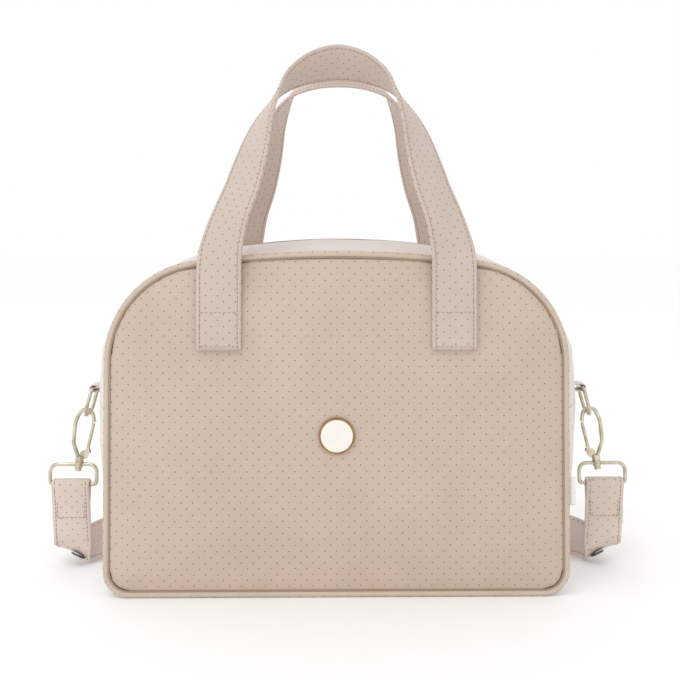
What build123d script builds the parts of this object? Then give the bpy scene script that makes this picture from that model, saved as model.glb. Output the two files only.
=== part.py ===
"""Soft changing bag with two grab handles, a zipped top and a clip-on shoulder strap.

Millimetres. The origin is the centre of the flat base, +Z is up, -Y is the front of the bag
and +X is the bag's right-hand side as seen from the front.
"""
from build123d import *
from math import asin, cos, degrees, pi, radians, sin, sqrt, tan
import os

# ---------------------------------------------------------------- driving dimensions
WIDTH = 430.0            # across the piped edge of the front panel
HEIGHT = 318.0           # base to the top of the piping
DEPTH = 160.0            # between the two seam planes
BASE_CORNER = 24.0       # outline radius at the base corners
TOP_CORNER = 95.0        # outline radius at the shoulders
TOP_ARC = 1000.0         # outline radius of the shallow top edge
CREST_ARC = 700.0        # radius of the zip line
PIPING = 2.75            # piping cord radius
SKIN = 2.0               # coated fabric with its backing
FOAM = 4.0               # foam sheet behind the padded panels
CROWN = 9.0              # how far the padded panels stand out of the seam plane
CREST = 8.0              # how far the zip line stands above the panels' top edge
SIDE_BULGE = 20.0        # how far the side gusset stands out at mid depth
SEAM_GAP = 0.25          # clearance at the sewn joints
MOUTH = 196.0            # length of the zipped mouth between the fixed gusset ends

HANDLE_W = 41.5
HANDLE_T = 3.6
HANDLE_X = 107.6         # middle of each sewn end, from the centre line
HANDLE_HINGE_Z = 268.0   # top of the sewn handle ends
HANDLE_FACE_Y = 93.1     # outer face of the handle where it is sewn

STRAP_W = 38.0
STRAP_T = 3.8

RING_WIRE = 1.8          # hardware wire radii
HOOK_WIRE = 2.0
LOOP_WIRE = 1.85
RING_PIVOT = (245.5, 177.0)      # |x|, z of the ring's upper bar
RING_LENGTH = 28.2               # between the ring's two bars
RING_TILT = 14.6                 # degrees outward
RING_WIDTH = 26.0                # between the ring's side bars
HOOK_BASE = (261.0, 103.3)       # |x|, z of the hook's lower shoulder
HOOK_LEAN = 8.3                  # degrees, top towards the bag
LOOP_CENTRE_X = 267.0
LOOP_WIDTH = 46.6                # wire centre to wire centre
LOOP_LOW_Z = 79.5
LOOP_HIGH_Z = 99.6

HALF = DEPTH / 2
GUSSET_END = HALF - PIPING - SEAM_GAP
ARC_CENTRE_Z = HEIGHT - TOP_ARC


# ---------------------------------------------------------------- small helpers
def unit(v):
    return v.normalized()


def save(node, solids):
    """Write one node; several separate solids may share it."""
    solids = solids if isinstance(solids, (list, tuple)) else [solids]
    bodies = [s for item in solids for s in item.solids()]
    shape = bodies[0] if len(bodies) == 1 else Compound(children=bodies)
    export_step(shape, f"parts/{node}.step")


def block(low, high):
    """Box from its lowest to its highest corner."""
    size = [h - l for l, h in zip(low, high)]
    middle = [(h + l) / 2 for l, h in zip(low, high)]
    return Pos(*middle) * Box(*size)


def flip_y(shape):
    return shape.mirror(Plane.XZ)


def flip_x(shape):
    return shape.mirror(Plane.YZ)


def tube(path, radius):
    """Round wire along a path of straight runs and tangent arcs."""
    section = Plane(origin=path @ 0, z_dir=path % 0) * Circle(radius)
    return sweep(section, path=path)


def ribbon(stations, width, thickness, spans=3):
    """Flat strap through stations of (centre, direction, across), lofted a few spans at a time."""
    wires = []
    for centre, along, across in stations:
        along = unit(Vector(*along))
        face = unit(along.cross(Vector(*across)))
        side = face.cross(along)
        a, b = side * (width / 2), face * (thickness / 2)
        c = Vector(*centre)
        wires.append(Wire.make_polygon([c - a - b, c + a - b, c + a + b, c - a + b], close=True))
    starts = range(0, len(wires) - 1, spans)
    lengths = [Solid.make_loft(wires[i:i + spans + 1], ruled=True) for i in starts]
    return lengths[0].fuse(*lengths[1:])


def along_route(points, across):
    """Stations of a ribbon whose direction follows its neighbouring points."""
    vectors = [Vector(*p) for p in points]
    stations = []
    for i, here in enumerate(vectors):
        before = vectors[max(i - 1, 0)]
        after = vectors[min(i + 1, len(vectors) - 1)]
        stations.append((tuple(here), tuple(after - before), across[i]))
    return stations


# ---------------------------------------------------------------- outline of the bag
def panel_wire(inset, y):
    """The front outline, drawn in by `inset`, in the plane at y."""
    half, low = WIDTH / 2 - inset, inset
    base_r = max(BASE_CORNER - inset, 5.0)
    top_r = max(TOP_CORNER - inset, 12.0)
    arc_r = TOP_ARC - inset
    shoulder_x = half - top_r
    shoulder_z = ARC_CENTRE_Z + sqrt((arc_r - top_r) ** 2 - shoulder_x ** 2)
    lean = asin(shoulder_x / (arc_r - top_r))
    turn = (lean + pi / 2) / 2
    q = base_r * (1 - cos(pi / 4))
    corner = (shoulder_x + top_r * sin(lean), shoulder_z + top_r * cos(lean))
    mid = (shoulder_x + top_r * sin(turn), shoulder_z + top_r * cos(turn))

    def p(x, z):
        return Vector(x, y, z)

    edges = [
        Edge.make_line(p(base_r - half, low), p(half - base_r, low)),
        Edge.make_three_point_arc(p(half - base_r, low), p(half - q, low + q), p(half, low + base_r)),
        Edge.make_line(p(half, low + base_r), p(half, shoulder_z)),
        Edge.make_three_point_arc(p(half, shoulder_z), p(*mid), p(*corner)),
        Edge.make_three_point_arc(p(*corner), p(0, ARC_CENTRE_Z + arc_r), p(-corner[0], corner[1])),
        Edge.make_three_point_arc(p(-corner[0], corner[1]), p(-mid[0], mid[1]), p(-half, shoulder_z)),
        Edge.make_line(p(-half, shoulder_z), p(-half, low + base_r)),
        Edge.make_three_point_arc(p(-half, low + base_r), p(q - half, low + q), p(base_r - half, low)),
    ]
    return Wire(edges)


def arc_drop(radius, x):
    """How far a shallow arch has fallen at x from its middle."""
    return radius - sqrt(radius ** 2 - x ** 2)


def gusset_wire(share, inset, y):
    """Gusset section: share 0 follows the panel edge, share 1 is the full mid-depth bulge."""
    edge_in = PIPING + SEAM_GAP

    def blend(edge_value, middle_value):
        return edge_value + (middle_value - edge_value) * share

    side = WIDTH / 2 - edge_in
    low = blend(edge_in, -0.6) + inset
    base_x = 190.0
    base_side = blend(side, 214.5) - inset
    base_z = 26.0
    belly = (blend(side + 0.3, WIDTH / 2 + SIDE_BULGE - 1.5) - inset, 150.0)
    upper = (blend(side, 231.5) - inset, blend(215.0, 222.0))
    shoulder = (blend(185.0, 190.0) - 0.7 * inset, blend(280.2, 281.0) - 0.7 * inset)
    top_x = 133.0
    top = blend(HEIGHT - edge_in, HEIGHT + CREST) - inset
    top_z = top - blend(arc_drop(TOP_ARC, top_x), arc_drop(CREST_ARC, top_x))
    base_mid = (base_side - 7.2, low + 7.2)

    def p(x, z):
        return Vector(x, y, z)

    def arc(a, b, c):
        return Edge.make_three_point_arc(p(*a), p(*b), p(*c))

    right = [((base_x, low), base_mid, (base_side, base_z)),
             ((base_side, base_z), belly, upper),
             (upper, shoulder, (top_x, top_z))]
    left = [tuple((-x, z) for x, z in reversed(points)) for points in reversed(right)]
    edges = [Edge.make_line(p(-base_x, low), p(base_x, low))]
    edges += [arc(*points) for points in right]
    edges += [arc((top_x, top_z), (0, top), (-top_x, top_z))]
    edges += [arc(*points) for points in left]
    return Wire(edges)


def gusset_body(inset, end_y):
    """Closed tub that the gusset wraps, from the front seam to the back seam."""
    rows = [(-end_y, 0.0), (-0.55 * HALF, 0.75), (0, 1.0), (0.55 * HALF, 0.75), (end_y, 0.0)]
    return Solid.make_loft([gusset_wire(share, inset, y) for y, share in rows], ruled=True)


def crowned(inset, back_y, lift):
    """Padded panel form: the outline stepped inward as it rises to the crown."""
    steps = [(6.0, 0.5), (14.0, 4.5), (34.0, 7.5), (70.0, CROWN)]
    wires = [panel_wire(6.0 + inset, -back_y)]
    wires += [panel_wire(i + inset, -(HALF + rise - lift)) for i, rise in steps]
    return Solid.make_loft(wires, ruled=True)


# ---------------------------------------------------------------- bag body
def front_shell():
    outer = crowned(0, HALF - 2.5, 0)
    return outer - crowned(SKIN, HALF - 3.5, SKIN)


def front_foam():
    """Foam sheet bonded behind the panel."""
    face, back = SKIN + 0.3, SKIN + FOAM + 0.3
    return crowned(face, HALF - 5.5, face - 0.1) - crowned(back, HALF - 6.5, back - 0.1)


def piping():
    path = panel_wire(PIPING + 0.05, -HALF)
    return tube(path, PIPING)


def gusset_parts():
    """The one gusset shell, cut where the real strips of fabric meet."""
    above_floor = block((-260, -90, 0), (260, 90, 400))
    shell = (gusset_body(0, GUSSET_END) - gusset_body(SKIN, GUSSET_END + 2)) & above_floor
    seam_z = 171.0
    half = MOUTH / 2
    lower = shell & block((-260, -90, -1), (260, 90, seam_z))
    end = shell & block((half + 0.4, -90, seam_z + 0.2), (260, 90, 400))
    flap = shell & block((-half, -90, 250), (half, -6.2, 400))
    tape = shell & block((-half, -6.0, 250), (half, -0.35, 400))
    return lower, end, flap, tape


def lining():
    tub = Solid.extrude(Face(panel_wire(8.0, -72.0)), Vector(0, 144, 0))
    room = Solid.extrude(Face(panel_wire(9.4, -70.6)), Vector(0, 141.2, 0))
    return (tub - room) & block((-230, -90, 0), (230, 90, 286.0))


def base_board():
    return block((-185, -68, 4.2), (185, 68, 6.8))


def inner_pocket():
    """Slip pocket on the back wall of the lining: one wall of fabric with a turned hem."""
    wall = block((-110, 67.6, 90), (110, 68.8, 228))
    hem = block((-110, 66.2, 220), (110, 67.5, 228))
    sides = [block((x, 68.9, 90), (x + 6, 70.4, 228)) for x in (-110, 104)]
    return [wall, hem] + sides


def badge():
    """Plain round medallion: a metal tray with a flat enamel filling."""
    face_y = -(HALF + CROWN)

    def disc(radius, y, thick):
        return Pos(0, y - thick / 2, 150.0) * Rot(90, 0, 0) * Cylinder(radius, thick)

    tray = disc(16.5, face_y - 0.15, 2.4) - disc(14.7, face_y - 0.95, 3.0)
    enamel = disc(14.6, face_y - 1.0, 1.8)
    return tray, enamel


def side_label():
    return block((214.4, -77.2, 82), (221.5, -76.4, 108))


def ring_tab():
    """Leather strip folded round the ring's upper bar and sewn to the gusset."""
    x, z = RING_PIVOT
    bore, outer, half_w = RING_WIRE + 0.35, RING_WIRE + 2.5, 8.0
    loop = Cylinder(outer, 2 * half_w) - Cylinder(bore, 2 * half_w + 2)
    loop = Pos(x, 0, z) * Rot(90, 0, 0) * loop
    legs = block((235.3, -half_w, z - 2.3), (x - bore - 0.2, half_w, z + 2.3))
    tail = block((235.3, -half_w, z - 15), (237.2, half_w, z - 2.3))
    return (loop + legs + tail).solid()


# ---------------------------------------------------------------- handles
# One arm, base to crown: distance from the middle, y, z, and how far the strap has turned
HANDLE_ROUTE = [
    (107.6, -91.3, 268.4, 0), (107.6, -91.2, 290.0, 2), (107.5, -90.6, 306.0, 5),
    (106.6, -89.0, 318.0, 10), (103.6, -86.2, 332.5, 18), (99.8, -82.5, 347.5, 25),
    (94.6, -78.3, 362.5, 29), (89.2, -74.0, 377.0, 31), (84.9, -69.8, 392.0, 34),
    (80.8, -65.5, 407.0, 39), (76.8, -61.0, 422.5, 46), (72.3, -56.3, 438.0, 56),
    (65.7, -51.3, 454.0, 67), (57.5, -46.6, 469.0, 79), (47.5, -42.2, 481.5, 93),
    (35.0, -38.0, 490.0, 106), (19.0, -34.6, 496.5, 119), (0.0, -33.0, 499.5, 127),
]
HANDLE_LEAN = radians(13.8)


def handle_stations():
    front = Vector(0, -cos(HANDLE_LEAN), sin(HANDLE_LEAN))
    right = [(Vector(x, y, z), turn) for x, y, z, turn in HANDLE_ROUTE]
    left = [(Vector(-v.X, v.Y, v.Z), -turn) for v, turn in reversed(right[:-1])]
    arms = right + left
    stations = []
    for i, (here, turn) in enumerate(arms):
        along = unit(arms[min(i + 1, len(arms) - 1)][0] - arms[max(i - 1, 0)][0])
        outward = unit(front.cross(along)) * -1
        swing = radians(turn)
        across = outward * cos(abs(swing)) - front * sin(abs(swing))
        stations.append((tuple(here), tuple(along), tuple(across)))
    return stations


def handle_patches():
    low, high = 228.0, HANDLE_HINGE_Z - 0.4
    y = -HANDLE_FACE_Y
    half = HANDLE_W / 2
    return [block((x - half, y, low), (x + half, y + HANDLE_T, high)) for x in (-HANDLE_X, HANDLE_X)]


# ---------------------------------------------------------------- zip slider
def on_crest(x):
    """Place on the zip line at x, turned to lie along it."""
    return Location((x, 0, HEIGHT + CREST - arc_drop(CREST_ARC, x)), (0, degrees(asin(x / CREST_ARC)), 0))


SLIDER_X = -135.0


def zip_slider():
    plate = block((-7, -4.2, 0.6), (7, 4.2, 2.2))
    nose = block((-7, -2.6, 0.6), (-2, 2.6, 3.4))
    posts = [block((-1.5, y, 2.2), (5.5, y + 1.4, 6.4)) for y in (-3.4, 2.0)]
    bridge = block((-1.5, -3.4, 5.4), (1.2, 3.4, 6.4))
    return on_crest(SLIDER_X) * (plate + nose + posts[0] + posts[1] + bridge)


def zip_pull():
    eye = Pos(3.4, 0, 3.9) * Rot(90, 0, 0) * Cylinder(1.2, 3.2)
    stem = block((3.4, -1.6, 3.1), (9.0, 1.6, 4.7))
    tab = block((8.0, -4.2, 3.1), (32.0, 4.2, 4.7))
    hole = Pos(27.5, 0, 3.9) * Cylinder(2.0, 4)
    return on_crest(SLIDER_X) * (eye + stem + tab - hole)


# ---------------------------------------------------------------- strap hardware
def ring():
    half, drop = RING_WIDTH / 2, RING_LENGTH
    path = FilletPolyline((half, 0), (half, -drop), (-half, -drop), (-half, 0),
                          radius=[4.0, 10.0, 10.0, 4.0], close=True)
    wire = tube(Plane(origin=(0, 0, 0), x_dir=(0, 1, 0), z_dir=(1, 0, 0)) * path, RING_WIRE)
    return Location((RING_PIVOT[0], 0, RING_PIVOT[1]), (0, -RING_TILT, 0)) * wire


def hook_place(side):
    """Hook frame: origin at the lower shoulder, local Z up its stem, local X across."""
    return Location((side * HOOK_BASE[0], 0, HOOK_BASE[1]), (0, -side * HOOK_LEAN, 0))


def hung(side, shape):
    """Place a clip part under its ring with the gate towards the bag; right mirrors left."""
    left = hook_place(-1) * shape
    return left if side < 0 else flip_x(left)


GATE_TOP = (8.8, 38.9)
GATE_FOOT = (6.6, 9.6)
PIN_R = 0.9


def gate_axis(radius, length):
    return Pos(GATE_FOOT[0], 0, GATE_FOOT[1]) * Rot(90, 0, 0) * Cylinder(radius, length)


def hook_frame(side):
    """Snap hook: collar, boss and a bent nose that the gate closes."""
    path = FilletPolyline((-2.2, 4.0), (-8.6, 17.0), (-9.6, 38.0), (-5.6, 51.8), (5.6, 51.8), (8.9, 40.2),
                          radius=[12.0, 14.0, 7.0, 7.0])
    nose = tube(Plane.XZ * path, HOOK_WIRE)
    collar = Pos(0, 0, 2.4) * Cylinder(4.2, 4.8)
    boss = Pos(4.0, 0, 6.8) * Rot(90, 0, 0) * Cylinder(4.4, 2.2)
    pin_hole = gate_axis(PIN_R + 0.02, 10)
    stem = Pos(0, 0, -4.5) * Cylinder(1.7, 9.4)
    head = Pos(0, 0, -8.6) * Cylinder(3.3, 2.6)
    return hung(side, nose + collar + boss + stem + head - pin_hole)


def gate(side):
    """Straight spring gate with a forked foot over the boss."""
    top, foot = Vector(GATE_TOP[0], 0, GATE_TOP[1]), Vector(GATE_FOOT[0], 0, GATE_FOOT[1] + 3.2)
    bar = tube(Wire([Edge.make_line(foot, top)]), 1.7)
    ears = [Pos(GATE_FOOT[0], y, GATE_FOOT[1]) * Rot(90, 0, 0) * Cylinder(3.0, 1.0) for y in (-1.9, 1.9)]
    necks = [block((5.2, y - 0.5, GATE_FOOT[1]), (8.2, y + 0.5, GATE_FOOT[1] + 4.5)) for y in (-1.9, 1.9)]
    bridge = block((5.2, -2.4, GATE_FOOT[1] + 3.6), (8.2, 2.4, GATE_FOOT[1] + 5.2))
    fork = ears[0] + ears[1] + necks[0] + necks[1] + bridge - gate_axis(PIN_R + 0.06, 10)
    return hung(side, bar + fork)


def gate_pin(side):
    return hung(side, gate_axis(PIN_R, 6.2))


def strap_loop(side):
    """Rectangular strap loop with the swivel eye that the hook's stem turns in."""
    half, top_r, low_r = LOOP_WIDTH / 2, 7.5, 3.5
    x = side * LOOP_CENTRE_X
    path = FilletPolyline((x + half, LOOP_LOW_Z), (x + half, LOOP_HIGH_Z), (x - half, LOOP_HIGH_Z),
                          (x - half, LOOP_LOW_Z), radius=[low_r, top_r, top_r, low_r], close=True)
    wire = tube(Plane.XZ * path, LOOP_WIRE)
    eye = hook_place(side) * Pos(0, 0, -3.5) * Cylinder(4.0, 6.4)
    bore = hook_place(side) * Pos(0, 0, -3.5) * Cylinder(1.78, 12)
    clear_head = hook_place(side) * Pos(0, 0, -8.8) * Cylinder(3.7, 3.6)
    return wire + eye - bore - clear_head


# ---------------------------------------------------------------- shoulder strap
# The right-hand half hangs from its clip, rolls under at the floor, turns on edge beside the bag
# and runs behind it to the middle.
STRAP_X = 269.0                         # where it hangs from the loop
HANG = [(STRAP_X, -4.25, 77.9), (STRAP_X - 0.3, -3.3, 70.0), (STRAP_X - 0.7, -2.1, 61.0),
        (STRAP_X - 1.3, -2.1, 45.0), (STRAP_X - 2.2, -2.8, 32.0)]
ROLL_START = Vector(STRAP_X - 3.2, -3.4, 22.0)
ROLL_LEAN, ROLL_RADIUS, ROLL_TURN = radians(25), 8.5, radians(105)
EDGE_START = Vector(222.4, 44.0, 20.2)  # here the strap stands on its edge
STUD_TURN, STUD_INWARD = 62.0, 6.0      # where the press stud sits on the roll
BEHIND = [(221.4, 74.0), (217.4, 106.0), (207.0, 140.0), (187.0, 173.0), (158.0, 202.0),
          (121.0, 226.0), (77.0, 243.0), (38.0, 250.0), (0.0, 252.0)]


def roll_under(turn):
    """Strap rolled round a leaning cylinder: centre, direction and across at this turn."""
    axis = Vector(cos(ROLL_LEAN), 0, sin(ROLL_LEAN))
    down, out = Vector(0, 0, -1), Vector(1, 0, 0)
    drop = Vector(sin(ROLL_LEAN), 0, -cos(ROLL_LEAN))
    creep = tan(ROLL_LEAN) * ROLL_RADIUS * turn
    centre = ROLL_START + drop * (ROLL_RADIUS * sin(turn))
    centre += Vector(0, ROLL_RADIUS * (1 - cos(turn)), 0) - axis * creep
    spin = Axis((0, 0, 0), tuple(axis))
    return centre, down.rotate(spin, degrees(turn)), out.rotate(spin, degrees(turn))


def on_floor(here, slope, side):
    """The same point, raised or lowered until the strap's lower edge just meets the floor."""
    face = unit(slope.cross(side))
    side = face.cross(unit(slope))
    return Vector(here.X, here.Y, abs(side.Z) * STRAP_W / 2 + abs(face.Z) * STRAP_T / 2 + 0.9)


def strap_stations():
    """Stations of the right-hand half: centre, direction, across."""
    hang = along_route(HANG + [tuple(ROLL_START)], [(1, 0, 0)] * (len(HANG) + 1))[:-1]
    steps = 6
    roll = [roll_under(ROLL_TURN * i / steps) for i in range(steps + 1)]
    start, leave, across = roll[-1]
    arrive, upright = Vector(0, 1, 0), Vector(0, 0, 1)
    reach = 1.1 * (EDGE_START - start).length
    bridge = []
    for i in range(1, 8):
        t = i / 8
        a, b = 2 * t ** 3 - 3 * t ** 2 + 1, 3 * t ** 2 - 2 * t ** 3
        c, d = t ** 3 - 2 * t ** 2 + t, t ** 3 - t ** 2
        here = start * a + EDGE_START * b + leave * (reach * c) + arrive * (reach * d)
        slope = start * (6 * t * t - 6 * t) + EDGE_START * (6 * t - 6 * t * t)
        slope += leave * (reach * (3 * t * t - 4 * t + 1)) + arrive * (reach * (3 * t * t - 2 * t))
        side = across * (1 - b) + upright * b
        bridge.append((on_floor(here, slope, side), slope, side))
    route = [tuple(EDGE_START)] + [(x, y, EDGE_START.Z) for x, y in BEHIND]
    behind = along_route(route, [(0, 0, 1)] * len(route))
    behind[0] = (route[0], (0, 1, 0), (0, 0, 1))
    behind[-1] = (route[-1], (-1, 0, 0), (0, 0, 1))
    return [tuple(tuple(v) for v in station) for station in hang + roll + bridge + behind]


def strap_band():
    half = ribbon(strap_stations(), STRAP_W, STRAP_T)
    return half.fuse(flip_x(half)).solid()


def strap_end(side):
    """Strap end folded over the loop's lower bar and sewn down behind the strap."""
    x, fold = side * STRAP_X, 4.1
    stations = []
    for step in range(9):
        turn = pi * step / 8
        centre = (x, -fold * cos(turn), LOOP_LOW_Z + fold * sin(turn))
        stations.append((centre, (0, sin(turn), cos(turn)), (1, 0, 0)))
    tail = [(269.2, 3.3, 70.0), (269.4, 2.1, 61.0), (269.6, 2.1, 46.0), (269.2, 1.8, 39.0)]
    for px, py, pz in tail:
        stations.append(((side * px, py, pz), (0, 0, -1), (1, 0, 0)))
    return ribbon(stations, STRAP_W, STRAP_T)


def strap_stud(side):
    """Press-stud cap on the outer face of the strap, where the strap turns under."""
    centre, along, across = roll_under(radians(STUD_TURN))
    face = along.cross(across)
    place = Plane(origin=centre + face * (STRAP_T / 2 + 0.9) - across * STUD_INWARD, z_dir=face)
    cap = place * Pos(0, 0, 0.7) * Cylinder(7.5, 1.0) + place * Pos(0, 0, 1.5) * Cylinder(6.0, 0.9)
    return cap if side > 0 else flip_x(cap)


# ---------------------------------------------------------------- build every node
def build():
    os.makedirs("parts", exist_ok=True)
    pairs = {"panel": front_shell(), "foam": front_foam(), "piping": piping(),
             "handle": ribbon(handle_stations(), HANDLE_W, HANDLE_T)}
    for name, shape in pairs.items():
        save(f"front_{name}", shape)
        save(f"back_{name}", flip_y(shape))
    patches = handle_patches()
    save("front_handle_ends", patches)
    save("back_handle_ends", [flip_y(p) for p in patches])

    lower, zip_end, flap, tape = gusset_parts()
    save("lower_gusset", lower)
    save("zip_gusset_right", zip_end)
    save("zip_gusset_left", flip_x(zip_end))
    save("front_flap", flap)
    save("back_flap", flip_y(flap))
    save("front_zip_tape", tape)
    save("back_zip_tape", flip_y(tape))
    save("lining", lining())
    save("base_board", base_board())
    save("inner_pocket", inner_pocket())
    tray, enamel = badge()
    save("badge_tray", tray)
    save("badge_enamel", enamel)
    save("side_label", side_label())
    save("zip_slider", zip_slider())
    save("zip_pull", zip_pull())
    save("strap_band", strap_band())

    for name, side in (("right", 1), ("left", -1)):
        save(f"ring_tab_{name}", ring_tab() if side > 0 else flip_x(ring_tab()))
        save(f"ring_{name}", ring() if side > 0 else flip_x(ring()))
        save(f"hook_{name}", hook_frame(side))
        save(f"gate_{name}", gate(side))
        save(f"gate_pin_{name}", gate_pin(side))
        save(f"strap_loop_{name}", strap_loop(side))
        save(f"strap_end_{name}", strap_end(side))
        save(f"strap_stud_{name}", strap_stud(side))


if __name__ == "__main__":
    build()
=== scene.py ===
# %% [markdown]
# # A changing bag in dotted leather
# The bag is built in the order that a maker would work: leather first, then the pieces that are cut
# from it, then the metal fittings. Everything is placed around a fixed frame, the bag's engineering
# model, which also says how the flaps, handles, rings and strap move.

# %% Load the frame
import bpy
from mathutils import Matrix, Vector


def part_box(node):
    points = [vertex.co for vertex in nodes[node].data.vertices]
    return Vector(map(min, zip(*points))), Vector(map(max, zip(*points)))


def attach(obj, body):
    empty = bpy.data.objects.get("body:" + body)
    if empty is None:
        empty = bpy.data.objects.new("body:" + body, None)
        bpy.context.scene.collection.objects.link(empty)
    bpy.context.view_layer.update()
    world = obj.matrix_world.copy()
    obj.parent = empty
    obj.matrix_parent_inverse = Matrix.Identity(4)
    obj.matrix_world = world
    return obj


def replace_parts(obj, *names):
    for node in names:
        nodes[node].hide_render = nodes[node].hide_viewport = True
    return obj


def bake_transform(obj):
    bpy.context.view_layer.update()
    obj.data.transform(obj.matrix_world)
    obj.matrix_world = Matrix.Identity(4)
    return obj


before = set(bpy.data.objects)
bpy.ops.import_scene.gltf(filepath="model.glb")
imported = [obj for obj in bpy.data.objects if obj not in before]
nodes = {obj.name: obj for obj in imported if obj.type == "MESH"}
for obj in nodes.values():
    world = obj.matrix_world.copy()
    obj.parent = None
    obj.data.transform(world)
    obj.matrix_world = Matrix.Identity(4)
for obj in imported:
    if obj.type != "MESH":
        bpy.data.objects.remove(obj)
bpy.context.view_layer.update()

import math

import bmesh
import bpy
import numpy as np
from mathutils import Matrix, Vector, noise

# %% [markdown]
# ## Sizes
# The pieces are worked out in millimetres, as a pattern cutter would, and turned to metres when a
# mesh is made. The outline of the bag is read from the frame's piping; the radii are pattern sizes.

# %% Pattern sizes in millimetres
MM = 0.001
low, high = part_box("front_piping")
HALF_WIDTH = round(high.x / MM)
HEIGHT = round(high.z / MM)
PIPING = (high.y - low.y) / MM / 2
SEAM_Y = -(high.y + low.y) / MM / 2
SEAM_GAP = 0.25  # between the piping and the gusset
GUSSET_END = SEAM_Y - PIPING - SEAM_GAP
BASE_CORNER, TOP_CORNER = 24.0, 95.0  # corner radii
TOP_ARC, CREST_ARC = 1000.0, 700.0  # radii of the arch at the seam and along the zip
ARC_CENTRE_Z = HEIGHT - TOP_ARC
SHOULDER_X = HALF_WIDTH - TOP_CORNER
CREST = 8.0  # how far the zip line stands above the panels
SIDE_BULGE = 20.0  # how far the side swells past the panels
print(f"outline {2 * HALF_WIDTH:.0f} x {HEIGHT:.0f} mm, seams {2 * SEAM_Y:.0f} mm apart")

# %% [markdown]
# ## Small helpers
# Colours are written as sRGB hex, the way a leather supplier's chart gives them, and Blender wants
# them linear. A node tree is easier to read when one line adds a node, sets it and links it, and when
# every surface gets its colour and its relief in the same way.

# %% Colour and node helpers
def linear(code):
    """sRGB hex to linear RGBA."""
    parts = [int(code[i:i + 2], 16) / 255 for i in (1, 3, 5)]
    return [c / 12.92 if c <= 0.04045 else ((c + 0.055) / 1.055) ** 2.4 for c in parts] + [1.0]


def add(tree, kind, settings=None, **inputs):
    """Add a node, set its properties, and fill or link its inputs: i0 is the first, _ is a space."""
    node = tree.nodes.new("ShaderNode" + kind)
    for key, value in (settings or {}).items():
        setattr(node, key, value)
    for key, value in inputs.items():
        numbered = key[0] == "i" and key[1:].isdigit()
        socket = node.inputs[int(key[1:]) if numbered else key.replace("_", " ")]
        if isinstance(value, bpy.types.NodeSocket):
            tree.links.new(value, socket)
        else:
            socket.default_value = value
    return node


def new_material(name, **shader):
    """A material with one Principled shader whose even values are set on its own sockets."""
    material = bpy.data.materials.new(name)
    material.use_nodes = True
    tree = material.node_tree
    bsdf = tree.nodes["Principled BSDF"]
    for key, value in shader.items():
        bsdf.inputs[key.replace("_", " ")].default_value = value
    return material, tree, bsdf


def dress(tree, bsdf, colour, height, strength, depth):
    """Give a shader its colour and its relief, which is depth mm high."""
    bump = add(tree, "Bump", i0=strength, Height=height)
    bump.inputs["Distance"].default_value = depth * MM
    tree.links.new(colour, bsdf.inputs["Base Color"])
    tree.links.new(bump.outputs[0], bsdf.inputs["Normal"])


def put(name, data):
    """Add an object with this data to the scene."""
    piece = bpy.data.objects.new(name, data)
    bpy.context.scene.collection.objects.link(piece)
    return piece


print("middle grey #808080 is", round(linear("#808080")[0], 3), "linear")

# %% [markdown]
# ## Dotted leather
# The body is polyurethane-coated leathercloth: a matt, finely pebbled film embossed on a woven
# backing, then printed with a pin dot. An image of the dot would blur up close, so it is drawn from
# the piece's own UVs, which are in metres: two square lattices, one shifted half a step, make the
# staggered dot. The pebble is too fine to read at this size, so it is drawn at 1.1 mm, a little coarse.

# %% Dotted leather
DOT_ACROSS, DOT_ALONG = 10.9, 11.2  # mm from dot to dot in one lattice
DOT_RADIUS, DOT_EDGE = 0.62, 0.12  # mm, and half the soft edge of the ink
PEBBLE, PEBBLE_HEIGHT = 1.1, 0.4  # mm from pebble to pebble, and how high they stand
CLOUD = 60.0  # mm, the size of the faint patches of tone


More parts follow.
